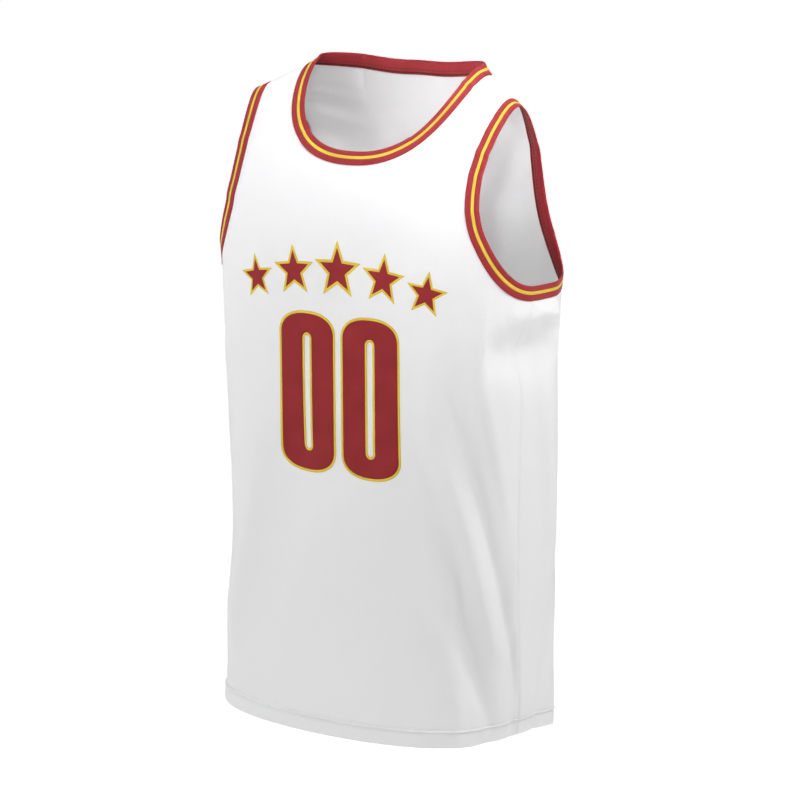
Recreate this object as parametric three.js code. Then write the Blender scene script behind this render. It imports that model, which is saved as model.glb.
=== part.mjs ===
// A basketball jersey, worn and empty: size M, in millimetres. +X is the wearer's left, the
// front faces -Y and +Z is up. The origin is the point between the two neck points, at the
// height where the shoulders hold the jersey.

import * as THREE from 'three';

// Overall sizes
const LENGTH = 760;
const CHEST_Z = -183;
const UNDERARM_Z = -243.5;
const NECK_HALF_WIDTH = 128;
const SHOULDER_HALF_WIDTH = 173;
const FRONT_NECK_Z = -102.5;
const BACK_NECK_Z = -7;

// Cloth
const WALL = 1.5;
const HEM_DEPTH = 20;
const HEM_WALL = 2.3;
const HEM_STEP = 1.5;
const HEM_SIDE_RISE = 12;
const SEAM_GAP = 0.3;

// Bands round the neck and the armholes
const BAND_WIDTH = 16;
const BAND_THICKNESS = 2.2;
const BAND_EDGE = 1.8;
const NECK_LEAN_FRONT = -4.5;
const NECK_LEAN_BACK = 12.5;
const NECK_LEAN_DEPTH = 60;

// The shoulder line: it slopes outwards, dips towards the middle, where the neck is, lies a
// little behind the side seams at the neck points and comes forward to its tips
const SHOULDER_SLOPE = 0.57;
const SHOULDER_ROUND = 30;
const SHOULDER_DIP = 33;
const SHOULDER_DIP_WIDTH = 75;
const SHOULDER_BACK = 22;
const TIP_FORWARD = 18.5;

// Rings down the body, from the chest (0) to the hem (1): half the width, how far the front
// and the back stand from the line between the side seams, and where that line lies along Y
const RINGS = [
  { down: 0, halfWidth: 220, front: 88, back: 80, middle: 1 },
  { down: 0.17, halfWidth: 212, front: 68, back: 108, middle: -17 },
  { down: 0.38, halfWidth: 205, front: 68, back: 121, middle: -14 },
  { down: 0.66, halfWidth: 200, front: 72, back: 117, middle: -7 },
  { down: 1, halfWidth: 202, front: 104, back: 107, middle: 1 },
];

// The two panels: which way each faces, how full its rings are at the corners, how it fills
// out under the shoulder, and the shapes of its neckline and armhole
const FRONT = {
  side: -1,
  depth: 'front',
  fullness: 0.054,
  shoulderFill: -0.34,
  neckZ: FRONT_NECK_Z,
  neckFullness: 0.036,
  armFullness: 0.074,
  armCut: 7.4,
  hemLift: 0,
  chestRows: 6,
  strapRows: 8,
};
const BACK = {
  side: 1,
  depth: 'back',
  fullness: 0.1,
  shoulderFill: -0.26,
  neckZ: BACK_NECK_Z,
  neckFullness: 0,
  armFullness: 0.1,
  armCut: 6.9,
  hemLift: 2,
  chestRows: 8,
  strapRows: 6,
};

// Largest folds, as soft ridges (height above 0) and troughs (below 0) from one end to the
// other. across is degrees round from the panel's middle, z is the height of each end.
const FOLDS = [
  { panel: FRONT, across: [-38, -52], z: [-424, -631], width: 30, height: 5 },
  { panel: FRONT, across: [33, 80], z: [-358, -668], width: 26, height: 6 },
  { panel: FRONT, across: [52, 80], z: [-345, -530], width: 22, height: -5 },
  { panel: FRONT, across: [22, 56], z: [-440, -650], width: 24, height: -4 },
  { panel: FRONT, across: [40, 70], z: [-620, -751], width: 22, height: 4 },
  { panel: BACK, across: [70, 60], z: [-300, -560], width: 26, height: 4 },
  { panel: BACK, across: [-34, -56], z: [-360, -640], width: 32, height: 6 },
  { panel: BACK, across: [28, 12], z: [-400, -690], width: 34, height: 5 },
  { panel: BACK, across: [-8, -26], z: [-480, -720], width: 28, height: -4 },
];
const FOLD_END = 70;
const FOLD_SEAM_MARGIN = 30;

// Steps of the mesh. Columns are counted over half a panel: those that end on the lower part
// of the armhole, on the shoulder and on the lower part of the neckline.
const ARM_COLUMNS = 8;
const SHOULDER_COLUMNS = 6;
const NECK_COLUMNS = 10;
const BODY_ROWS = 16;
const ARM_LOW_SHARE = 0.33;
const NECK_LOW_SHARE = 0.62;

// Colours and finish
const WHITE_MESH = { color: 0xf2f2f2, roughness: 0.85, metalness: 0 };
const CRIMSON_KNIT = { color: 0x8e2530, roughness: 0.8, metalness: 0 };

const QUARTER = Math.PI / 2;
const RISE_TO_SHOULDER = -CHEST_Z * QUARTER;
const UNDERARM_RISE = UNDERARM_Z - CHEST_Z;

// Rounded-square versions of sine and cosine: fullness 0 gives a circle
function fullSine(angle, fullness) {
  return (Math.sin(angle) + fullness * Math.sin(3 * angle)) / (1 - fullness);
}

function fullCosine(angle, fullness) {
  return (Math.cos(angle) - fullness * Math.cos(3 * angle)) / (1 - fullness);
}

// A smooth curve through one column of the ring table, level at the chest
function ringSize(column, z) {
  const t = THREE.MathUtils.clamp((CHEST_Z - z) / (CHEST_Z + LENGTH), 0, 1.02);
  const slopeAt = (k) => {
    if (k === 0) return 0;
    const above = RINGS[k - 1];
    const below = RINGS[Math.min(k + 1, RINGS.length - 1)];
    return (below[column] - above[column]) / (below.down - above.down);
  };
  let k = 0;
  while (k < RINGS.length - 2 && t > RINGS[k + 1].down) k += 1;
  const span = RINGS[k + 1].down - RINGS[k].down;
  const u = (t - RINGS[k].down) / span;
  const start = RINGS[k][column];
  const rise = RINGS[k + 1][column] - start;
  const slopeIn = slopeAt(k) * span;
  const slopeOut = slopeAt(k + 1) * span;
  return start + rise * u * u * (3 - 2 * u) + slopeIn * u * (1 - u) ** 2 - slopeOut * u * u * (1 - u);
}

// Height of the shoulder line over the neck point, at a place across the body
function shoulderZ(x) {
  const slopePart = Math.hypot(x, SHOULDER_ROUND) - Math.hypot(NECK_HALF_WIDTH, SHOULDER_ROUND);
  const dip = (at) => Math.exp(-((at / SHOULDER_DIP_WIDTH) ** 2));
  return -SHOULDER_SLOPE * slopePart - SHOULDER_DIP * (dip(x) - dip(NECK_HALF_WIDTH));
}

// The cloth without its folds. turn is the angle across the panel, from -90 degrees at the
// right side seam to 90 degrees at the left. rise is 0 at the chest, negative down the body
// and RISE_TO_SHOULDER on the shoulder line.
function smoothPoint(panel, turn, rise) {
  const ringZ = CHEST_Z + Math.min(rise, 0);
  const lift = QUARTER * THREE.MathUtils.clamp(rise / RISE_TO_SHOULDER, 0, 1);
  const over = Math.sin(lift) ** 2;
  const x = ringSize('halfWidth', ringZ) * fullSine(turn, panel.fullness);
  const depth = ringSize(panel.depth, ringZ) * Math.cos(lift) * (1 + panel.shoulderFill * over);
  const outwards = (Math.abs(x) - NECK_HALF_WIDTH) / (SHOULDER_HALF_WIDTH - NECK_HALF_WIDTH);
  const shoulderY = SHOULDER_BACK - TIP_FORWARD * THREE.MathUtils.clamp(outwards, -1, 1.5);
  const middle = ringSize('middle', ringZ) * (1 - over) + shoulderY * over;
  const y = middle + panel.side * depth * fullCosine(turn, panel.fullness);
  const z = rise < 0 ? ringZ : CHEST_Z + (shoulderZ(x) - CHEST_Z) * Math.sin(lift);
  return new THREE.Vector3(x, y, z);
}

// How far one step of turn and one of rise move a point over the cloth, as two vectors
function clothSteps(panel, turn, rise) {
  const dTurn = 0.002;
  const dRise = 0.5;
  const low = Math.min(rise, RISE_TO_SHOULDER - dRise) - dRise;
  const alongTurn = smoothPoint(panel, turn + dTurn, rise)
    .sub(smoothPoint(panel, turn - dTurn, rise))
    .divideScalar(2 * dTurn);
  const alongRise = smoothPoint(panel, turn, low + 2 * dRise)
    .sub(smoothPoint(panel, turn, low))
    .divideScalar(2 * dRise);
  return { alongTurn, alongRise };
}

function outwardNormal(panel, turn, rise) {
  const { alongTurn, alongRise } = clothSteps(panel, turn, rise);
  return alongTurn.cross(alongRise).multiplyScalar(-panel.side).normalize();
}

// Sum of the folds at a place. Each fades out at its ends, and all fade towards the side seams.
function foldHeight(panel, turn, rise) {
  const halfRing = ringSize('halfWidth', CHEST_Z + Math.min(rise, 0));
  let sum = 0;
  for (const fold of FOLDS) {
    if (fold.panel !== panel) continue;
    const [startTurn, endTurn] = fold.across.map(THREE.MathUtils.degToRad);
    const [startRise, endRise] = fold.z.map((z) => z - CHEST_Z);
    const along = (startRise - rise) / (startRise - endRise);
    const clamped = THREE.MathUtils.clamp(along, 0, 1);
    const centre = startTurn + (endTurn - startTurn) * clamped;
    const beside = ((turn - centre) * halfRing) / fold.width;
    const beyond = ((along - clamped) * (startRise - endRise)) / FOLD_END;
    sum += fold.height * Math.exp(-beside * beside - beyond * beyond);
  }
  const toSeam = (QUARTER - Math.abs(turn)) * halfRing;
  return sum * THREE.MathUtils.smoothstep(toSeam, 0, FOLD_SEAM_MARGIN);
}

// A point of the cloth with its folds, moved outwards by a distance
function clothPoint(panel, turn, rise, outwards) {
  const height = foldHeight(panel, turn, rise) + outwards;
  return smoothPoint(panel, turn, rise).addScaledVector(outwardNormal(panel, turn, rise), height);
}

// Angle across a panel at which its chest ring reaches a distance from the middle
function turnAtHalfWidth(panel, x) {
  let low = 0;
  let high = QUARTER;
  for (let k = 0; k < 40; k += 1) {
    const middle = (low + high) / 2;
    const reached = RINGS[0].halfWidth * fullSine(middle, panel.fullness) > x;
    if (reached) high = middle;
    else low = middle;
  }
  return low;
}

function riseAtCentre(z) {
  const fraction = (z - CHEST_Z) / (shoulderZ(0) - CHEST_Z);
  return RISE_TO_SHOULDER * Math.asin(fraction) / QUARTER;
}

// Half of a neckline, from the middle (t = 0) to the neck point (t = 90 degrees)
function necklinePlace(panel, t) {
  const lowest = riseAtCentre(panel.neckZ);
  return {
    turn: turnAtHalfWidth(panel, NECK_HALF_WIDTH) * fullSine(t, panel.neckFullness),
    rise: lowest + (RISE_TO_SHOULDER - lowest) * (1 - fullCosine(t, panel.neckFullness)),
  };
}

// How far the armhole is cut in towards the middle of the panel: most part way up
function armholeCut(panel, rise) {
  const down = (RISE_TO_SHOULDER - rise) / (RISE_TO_SHOULDER - UNDERARM_RISE);
  const squared = THREE.MathUtils.clamp(down, 0, 1) ** 2;
  return THREE.MathUtils.degToRad(panel.armCut) * 4 * squared * (1 - squared);
}

// Half of a left armhole, from the underarm (t = 0) to the shoulder's tip (t = 90 degrees)
function armholePlace(panel, t) {
  const reach = QUARTER - turnAtHalfWidth(panel, SHOULDER_HALF_WIDTH);
  const up = (RISE_TO_SHOULDER - UNDERARM_RISE) * (1 - fullCosine(t, panel.armFullness));
  const rise = UNDERARM_RISE + up;
  const turn = QUARTER - reach * fullSine(t, panel.armFullness) - armholeCut(panel, rise);
  return { turn, rise };
}

// The left shoulder line, from its tip to the neck point
function shoulderPlaces(panel) {
  return Array.from({ length: SHOULDER_COLUMNS + 1 }, (_, k) => {
    const x = THREE.MathUtils.lerp(SHOULDER_HALF_WIDTH, NECK_HALF_WIDTH, k / SHOULDER_COLUMNS);
    return { turn: turnAtHalfWidth(panel, x), rise: RISE_TO_SHOULDER };
  });
}

// Places along an edge in two stretches, each with its own number of even steps: the first
// covers the given share of the edge's length
function placesAlong(panel, placeAt, share, firstSteps, secondSteps) {
  const fine = 240;
  const lengths = [0];
  let last = null;
  for (let k = 0; k <= fine; k += 1) {
    const { turn, rise } = placeAt(panel, (QUARTER * k) / fine);
    const point = smoothPoint(panel, turn, rise);
    if (last) lengths.push(lengths[k - 1] + point.distanceTo(last));
    last = point;
  }
  const placeAtLength = (fraction) => {
    const target = lengths[fine] * fraction;
    let k = 0;
    while (k < fine - 1 && lengths[k + 1] < target) k += 1;
    const u = THREE.MathUtils.clamp((target - lengths[k]) / (lengths[k + 1] - lengths[k]), 0, 1);
    return placeAt(panel, (QUARTER * (k + u)) / fine);
  };
  const places = [];
  for (let k = 0; k < firstSteps; k += 1) places.push(placeAtLength((share * k) / firstSteps));
  for (let k = 0; k <= secondSteps; k += 1) {
    places.push(placeAtLength(share + ((1 - share) * k) / secondSteps));
  }
  return places;
}

// The left armhole from the underarm, and the neckline from its middle, to the shoulder
function armholePlaces(panel) {
  const upRows = panel.chestRows + panel.strapRows;
  return placesAlong(panel, armholePlace, ARM_LOW_SHARE, ARM_COLUMNS, upRows);
}

function necklinePlaces(panel) {
  return placesAlong(panel, necklinePlace, NECK_LOW_SHARE, NECK_COLUMNS, panel.strapRows);
}

// A place moved by half a seam's gap from the side seams and from the shoulder line
function trimmed(panel, { turn, rise }) {
  const steps = clothSteps(panel, turn, rise);
  const turnGap = SEAM_GAP / 2 / steps.alongTurn.length();
  const riseGap = SEAM_GAP / 2 / steps.alongRise.length();
  return {
    turn: THREE.MathUtils.clamp(turn, turnGap - QUARTER, QUARTER - turnGap),
    rise: Math.min(rise, RISE_TO_SHOULDER - riseGap),
  };
}

function hemZ(panel, turn) {
  return -LENGTH + HEM_SIDE_RISE * Math.sin(turn) ** 2 + panel.hemLift * Math.cos(turn) ** 2;
}

// A closed solid from matching grids of inner and outer points, rows[j][i], where a missing
// point is null: each cell with its four points has a face on both sides, and each side of a
// cell with no neighbour has a rim
function wallGeometry(innerRows, outerRows) {
  const columns = innerRows[0].length;
  const positions = [];
  for (const grid of [innerRows, outerRows]) {
    for (const point of grid.flat()) {
      positions.push(...(point ? point.toArray() : [0, 0, 0]));
    }
  }
  const inner = ([j, i]) => j * columns + i;
  const outer = (corner) => innerRows.length * columns + inner(corner);
  const corners = (j, i) => [[j, i], [j, i + 1], [j + 1, i + 1], [j + 1, i]];
  const filled = (j, i) => corners(j, i).every(([row, column]) => innerRows[row]?.[column]);
  const indices = [];
  const addQuad = (p, q, r, t) => indices.push(p, q, r, p, r, t);
  const neighbours = [[-1, 0], [0, 1], [1, 0], [0, -1]];
  for (let j = 0; j < innerRows.length - 1; j += 1) {
    for (let i = 0; i < columns - 1; i += 1) {
      if (!filled(j, i)) continue;
      const cell = corners(j, i);
      addQuad(...cell.map(outer));
      addQuad(...cell.map(inner).reverse());
      neighbours.forEach(([up, along], k) => {
        if (filled(j + up, i + along)) return;
        const from = cell[k];
        const to = cell[(k + 1) % 4];
        addQuad(inner(from), inner(to), outer(to), outer(from));
      });
    }
  }
  return trimmedGeometry(positions, indices);
}

// A geometry with only the points that its faces use
function trimmedGeometry(positions, indices) {
  const used = [...new Set(indices)].sort((p, q) => p - q);
  const renumbered = new Map(used.map((old, k) => [old, k]));
  const kept = used.flatMap((old) => positions.slice(3 * old, 3 * old + 3));
  const geometry = new THREE.BufferGeometry();
  geometry.setAttribute('position', new THREE.Float32BufferAttribute(kept, 3));
  geometry.setIndex(indices.map((old) => renumbered.get(old)));
  geometry.computeVertexNormals();
  return geometry;
}

function between(start, end, fraction) {
  return {
    turn: THREE.MathUtils.lerp(start.turn, end.turn, fraction),
    rise: THREE.MathUtils.lerp(start.rise, end.rise, fraction),
  };
}

// A row of even steps between two places
function straightRow(start, end, steps) {
  return Array.from({ length: steps + 1 }, (_, k) => between(start, end, k / steps));
}

// Fills the rows between a bottom and a top row so that they also follow two side edges,
// given from the bottom up. A side that is null stays straight.
function filledRows(bottom, top, leftSide, rightSide) {
  const rowCount = (leftSide ?? rightSide).length - 1;
  const columnCount = bottom.length - 1;
  const rows = [];
  for (let j = 0; j <= rowCount; j += 1) {
    const v = j / rowCount;
    const strayAt = (side, column) => {
      const straight = between(bottom[column], top[column], v);
      const wanted = side ? side[j] : straight;
      return { turn: wanted.turn - straight.turn, rise: wanted.rise - straight.rise };
    };
    const left = strayAt(leftSide, 0);
    const right = strayAt(rightSide, columnCount);
    rows.push(bottom.map((start, i) => {
      const place = between(start, top[i], v);
      const stray = between(left, right, i / columnCount);
      return { turn: place.turn + stray.turn, rise: place.rise + stray.rise };
    }));
  }
  return rows;
}

// The rows at a panel's hem, which is folded double, in steps up from its edge
function hemRows(panel, turns) {
  const steps = [
    { up: 0, outwards: HEM_WALL },
    { up: HEM_DEPTH, outwards: HEM_WALL },
    { up: HEM_DEPTH + HEM_STEP, outwards: WALL },
  ];
  return steps.map(({ up, outwards }) => turns.map((turn) => {
    return { turn, rise: hemZ(panel, turn) + up - CHEST_Z, outwards };
  }));
}

// The left half of a panel's places, from the side seam (i = 0) to the middle: the body up to
// the armholes, the chest between them up to the neckline, then the strap to the shoulder
function halfPanelPlaces(panel) {
  const arm = armholePlaces(panel);
  const neck = necklinePlaces(panel);
  const armCorner = arm[ARM_COLUMNS];
  const neckCorner = neck[NECK_COLUMNS];
  const chestMiddle = { turn: 0, rise: armCorner.rise };
  const chestColumns = SHOULDER_COLUMNS + NECK_COLUMNS;
  const chestLine = straightRow(armCorner, chestMiddle, chestColumns);
  const bodyTop = [...arm.slice(0, ARM_COLUMNS), ...chestLine];
  const hem = hemRows(panel, bodyTop.map(({ turn }) => turn));
  const hemTop = hem[hem.length - 1];
  const sideSeam = straightRow(hemTop[0], bodyTop[0], BODY_ROWS);
  const body = filledRows(hemTop, bodyTop, sideSeam, null);

  const chestSide = arm.slice(ARM_COLUMNS, ARM_COLUMNS + panel.chestRows + 1);
  const strapSide = arm.slice(ARM_COLUMNS + panel.chestRows);
  const strapBottom = straightRow(strapSide[0], neckCorner, SHOULDER_COLUMNS);
  const neckLow = neck.slice(0, NECK_COLUMNS).reverse();
  const chest = filledRows(chestLine, [...strapBottom, ...neckLow], chestSide, null);

  const strapTop = shoulderPlaces(panel);
  const strap = filledRows(strapBottom, strapTop, strapSide, neck.slice(NECK_COLUMNS));

  const offArm = Array(ARM_COLUMNS).fill(null);
  const offNeck = Array(NECK_COLUMNS).fill(null);
  return [
    ...hem,
    ...body.slice(1),
    ...chest.slice(1).map((row) => [...offArm, ...row]),
    ...strap.slice(1).map((row) => [...offArm, ...row, ...offNeck]),
  ];
}

function panelGeometry(panel) {
  const rows = halfPanelPlaces(panel).map((half) => {
    const mirrored = half.slice(0, -1).map((place) => place && { ...place, turn: -place.turn });
    const row = [...mirrored, ...[...half].reverse()];
    return panel === FRONT ? row : row.reverse();
  });
  const points = (side) => rows.map((row) => row.map((place) => {
    if (!place) return null;
    const { turn, rise } = trimmed(panel, place);
    const outwards = side === 'inner' ? 0 : place.outwards ?? WALL;
    return clothPoint(panel, turn, rise, outwards);
  }));
  return wallGeometry(points('inner'), points('outer'));
}

// One closed round of an opening's edge: points on the cloth with their outward normals. It
// runs so that the tangent crossed with the normal points into the opening.
function edgeRound(places) {
  return places.map(({ panel, turn, rise, seam }) => {
    const normal = outwardNormal(panel, turn, rise);
    if (seam) normal.add(outwardNormal(panel === FRONT ? BACK : FRONT, seam.turn, seam.rise)).normalize();
    return { point: clothPoint(panel, turn, rise, 0), normal, lean: 0 };
  });
}

// The places where a front and a back edge meet at a seam, on the left or the right
function meetingPlace(frontPlace, backPlace, sign) {
  const { turn, rise } = frontPlace;
  return { panel: FRONT, turn: sign * turn, rise, seam: { turn: sign * backPlace.turn, rise } };
}

function onSide(panel, places, sign) {
  return places.map(({ turn, rise }) => ({ panel, turn: sign * turn, rise }));
}

function neckRound() {
  const front = necklinePlaces(FRONT);
  const back = necklinePlaces(BACK);
  const round = edgeRound([
    ...onSide(FRONT, front.slice(0, -1), 1),
    meetingPlace(front.at(-1), back.at(-1), 1),
    ...onSide(BACK, back.slice(1, -1).reverse(), 1),
    ...onSide(BACK, back.slice(0, -1), -1),
    meetingPlace(front.at(-1), back.at(-1), -1),
    ...onSide(FRONT, front.slice(1, -1).reverse(), -1),
  ].reverse());
  for (const station of round) {
    const backwards = THREE.MathUtils.clamp(station.point.y / NECK_LEAN_DEPTH, -1, 1) / 2 + 0.5;
    station.lean = THREE.MathUtils.degToRad(
      THREE.MathUtils.lerp(NECK_LEAN_FRONT, NECK_LEAN_BACK, backwards),
    );
  }
  return round;
}

function armholeRound(sign) {
  const front = armholePlaces(FRONT);
  const back = armholePlaces(BACK);
  const places = [
    meetingPlace(front[0], back[0], sign),
    ...onSide(FRONT, front.slice(1, -1), sign),
    meetingPlace(front.at(-1), back.at(-1), sign),
    ...onSide(BACK, back.slice(1, -1).reverse(), sign),
  ];
  return edgeRound(sign > 0 ? places : places.reverse());
}

// The band's section: how far across it from the seam, and how far out from the inside
const BAND_SECTION = [
  { across: 0, out: 0 },
  { across: 0, out: WALL },
  { across: BAND_EDGE, out: BAND_THICKNESS },
  { across: BAND_WIDTH - BAND_EDGE, out: BAND_THICKNESS },
  { across: BAND_WIDTH, out: WALL },
  { across: BAND_WIDTH, out: 0.4 },
  { across: BAND_WIDTH - BAND_EDGE, out: 0 },
];

// A closed band that runs round an opening beside the cloth's edge
function bandGeometry(round) {
  const count = round.length;
  const positions = [];
  for (let k = 0; k < count; k += 1) {
    const { point, normal, lean } = round[k];
    const ahead = round[(k + 1) % count].point;
    const behind = round[(k + count - 1) % count].point;
    const tangent = ahead.clone().sub(behind).normalize();
    const across = tangent.cross(normal).normalize();
    const leaning = across.clone().multiplyScalar(Math.cos(lean)).addScaledVector(normal, Math.sin(lean));
    const leaningOut = normal.clone().multiplyScalar(Math.cos(lean)).addScaledVector(across, -Math.sin(lean));
    for (const corner of BAND_SECTION) {
      const place = point.clone()
        .addScaledVector(across, SEAM_GAP)
        .addScaledVector(leaning, corner.across)
        .addScaledVector(corner.across > 0 ? leaningOut : normal, corner.out);
      positions.push(place.x, place.y, place.z);
    }
  }
  const corners = BAND_SECTION.length;
  const at = (k, c) => (k % count) * corners + (c % corners);
  const indices = [];
  for (let k = 0; k < count; k += 1) {
    for (let c = 0; c < corners; c += 1) {
      indices.push(at(k, c), at(k, c + 1), at(k + 1, c + 1));
      indices.push(at(k, c), at(k + 1, c + 1), at(k + 1, c));
    }
  }
  const geometry = new THREE.BufferGeometry();
  geometry.setAttribute('position', new THREE.Float32BufferAttribute(positions, 3));
  geometry.setIndex(indices);
  geometry.computeVertexNormals();
  return geometry;
}

function piece(name, geometry, finish) {
  const mesh = new THREE.Mesh(geometry, new THREE.MeshStandardMaterial(finish));
  mesh.name = name;
  return mesh;
}

const group = new THREE.Group();
group.add(piece('front_panel', panelGeometry(FRONT), WHITE_MESH));
group.add(piece('back_panel', panelGeometry(BACK), WHITE_MESH));
group.add(piece('neck_band', bandGeometry(neckRound()), CRIMSON_KNIT));
for (const [name, sign] of [['left', 1], ['right', -1]]) {
  group.add(piece(`armhole_band_${name}`, bandGeometry(armholeRound(sign)), CRIMSON_KNIT));
}

export default group;
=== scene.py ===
import math

import bpy
import numpy as np
from mathutils import Matrix


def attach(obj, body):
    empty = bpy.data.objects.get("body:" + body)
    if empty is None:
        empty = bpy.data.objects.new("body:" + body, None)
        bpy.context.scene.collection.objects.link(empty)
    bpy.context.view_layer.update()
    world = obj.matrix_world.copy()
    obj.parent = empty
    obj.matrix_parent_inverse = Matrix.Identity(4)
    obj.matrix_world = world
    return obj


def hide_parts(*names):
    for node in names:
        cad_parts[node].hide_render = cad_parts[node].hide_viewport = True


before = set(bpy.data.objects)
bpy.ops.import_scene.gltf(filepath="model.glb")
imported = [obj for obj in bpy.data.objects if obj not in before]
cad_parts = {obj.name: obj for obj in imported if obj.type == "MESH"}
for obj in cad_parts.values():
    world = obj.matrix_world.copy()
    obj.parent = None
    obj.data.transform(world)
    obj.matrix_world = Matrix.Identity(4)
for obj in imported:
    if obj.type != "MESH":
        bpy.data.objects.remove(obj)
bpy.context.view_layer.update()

# All sizes are in millimetres and become metres when a mesh is made
MM = 0.001

# The jersey's form, as the CAD panels have it
LENGTH = 760
CHEST_Z = -183
UNDERARM_Z = -243.5
NECK_HALF_WIDTH = 128
SHOULDER_HALF_WIDTH = 173
SHOULDER_SLOPE = 0.57
SHOULDER_ROUND = 30
SHOULDER_DIP = 33
SHOULDER_DIP_WIDTH = 75
SHOULDER_BACK = 22
TIP_FORWARD = 18.5
HEM_SIDE_RISE = 12
SEAM_GAP = 0.3
QUARTER = math.pi / 2
RISE_TO_SHOULDER = -CHEST_Z * QUARTER
UNDERARM_RISE = UNDERARM_Z - CHEST_Z

# Rings down the body, from the chest (0) to the hem (1)
RINGS = {
    "down": [0, 0.17, 0.38, 0.66, 1],
    "half_width": [220, 212, 205, 200, 202],
    "front": [88, 68, 68, 72, 104],
    "back": [80, 108, 121, 117, 107],
    "middle": [1, -17, -14, -7, 1],
}
FRONT = {
    "side": -1,
    "depth": "front",
    "fullness": 0.054,
    "shoulder_fill": -0.34,
    "neck_z": -102.5,
    "neck_fullness": 0.036,
    "arm_fullness": 0.074,
    "arm_cut": 7.4,
    "hem_lift": 0,
    "chest_rows": 22,
    "strap_rows": 30,
}
BACK = {
    "side": 1,
    "depth": "back",
    "fullness": 0.1,
    "shoulder_fill": -0.26,
    "neck_z": -7,
    "neck_fullness": 0,
    "arm_fullness": 0.1,
    "arm_cut": 6.9,
    "hem_lift": 2,
    "chest_rows": 30,
    "strap_rows": 22,
}

# The largest folds: degrees round from the panel's middle and heights of both ends, then the
# width and the height of the ridge, or the depth of the trough if it is below 0
FOLDS = [
    (FRONT, (-38, -52), (-424, -631), 30, 5),
    (FRONT, (33, 80), (-358, -668), 26, 6),
    (FRONT, (52, 80), (-345, -530), 22, -5),
    (FRONT, (22, 56), (-440, -650), 24, -4),
    (FRONT, (40, 70), (-620, -751), 22, 4),
    (BACK, (70, 60), (-300, -560), 26, 4),
    (BACK, (-34, -56), (-360, -640), 32, 6),
    (BACK, (28, 12), (-400, -690), 34, 5),
    (BACK, (-8, -26), (-480, -720), 28, -4),
]
FOLD_END = 70
FOLD_SEAM_MARGIN = 30

# Softer folds that lie on top of the largest ones, in the same terms
DRAPE = [
    # down the wearer's left of the front
    (FRONT, (21, 31), (-425, -482), 24, 3.2),
    (FRONT, (31, 69), (-392, -650), 20, 5.5),
    (FRONT, (36, 84), (-352, -656), 24, -9.5),
    (FRONT, (55, 83), (-340, -545), 22, 5.0),
    (FRONT, (31, 50), (-596, -712), 18, 4.0),
    (FRONT, (45, 68), (-612, -736), 19, -6.0),
    # down the wearer's right of the front
    (FRONT, (-29, -46), (-434, -628), 22, 5.4),
    (FRONT, (-14, -28), (-470, -620), 24, -3.2),
    (FRONT, (-64, -60), (-290, -430), 19, -2.6),
    (FRONT, (-76, -70), (-530, -700), 16, -3.2),
    (FRONT, (-60, -70), (-640, -740), 14, 2.4),
    # the left side of the back
    (BACK, (75, 66), (-362, -520), 18, 5.0),
    (BACK, (60, 76), (-560, -742), 17, -3.6),
    (BACK, (46, 54), (-300, -470), 18, -3.4),
    (BACK, (22, 8), (-420, -640), 18, 3.4),
    # the right side of the back
    (BACK, (-75, -62), (-350, -510), 17, 4.4),
    (BACK, (-48, -40), (-300, -440), 18, -3.0),
    (BACK, (-30, -50), (-540, -720), 16, 3.0),
    (BACK, (-72, -66), (-600, -745), 15, -2.8),
    # soft drops from the straps over the chest
    (FRONT, (34, 22), (-140, -235), 20, 1.6),
    (FRONT, (-35, -24), (-140, -240), 20, 1.6),
    (BACK, (30, 20), (-90, -220), 22, 2.0),
    (BACK, (-31, -18), (-90, -230), 22, 2.0),
]
DRAPE_SEAM_MARGIN = 16

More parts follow.
